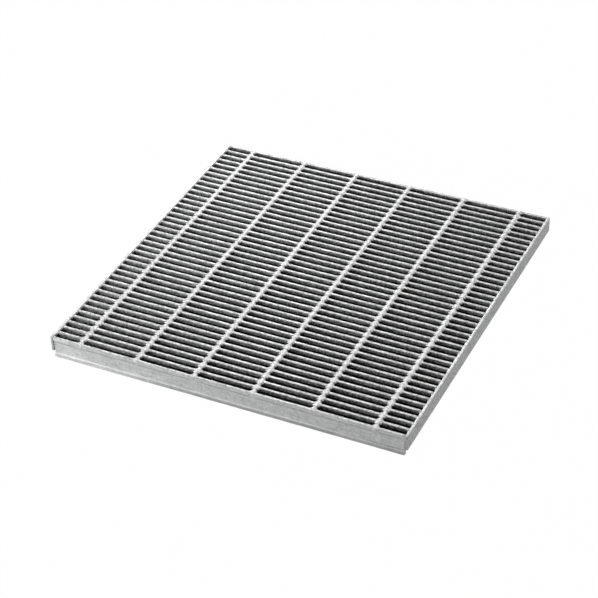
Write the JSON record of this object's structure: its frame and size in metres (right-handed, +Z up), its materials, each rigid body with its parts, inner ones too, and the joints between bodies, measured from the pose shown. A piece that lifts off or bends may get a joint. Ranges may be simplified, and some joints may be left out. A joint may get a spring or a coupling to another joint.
{
  "type": "steel grating panel",
  "caption": "Square fine-mesh drain grating panel of galvanised steel: close I-section bars, flush twisted cross bars and two flat end plates.",
  "frame": {"origin": "on the ground under the middle of the panel", "axes": "+Z up through the walking face, X along the main bars, Y along the cross bars"},
  "size_m": [0.605, 0.605, 0.038],
  "materials": {
    "galvanised_bars": "hot-dip galvanised, dull silver grey with faint mottling and drawn streaks",
    "galvanised_plate": "hot-dip galvanised flat bar, dull grey with cloudy mottling"
  },
  "bodies": {
    "root": {"bar_grid": "galvanised_bars", "end_plate_left": "galvanised_plate", "end_plate_right": "galvanised_plate"}
  },
  "joints": []
}
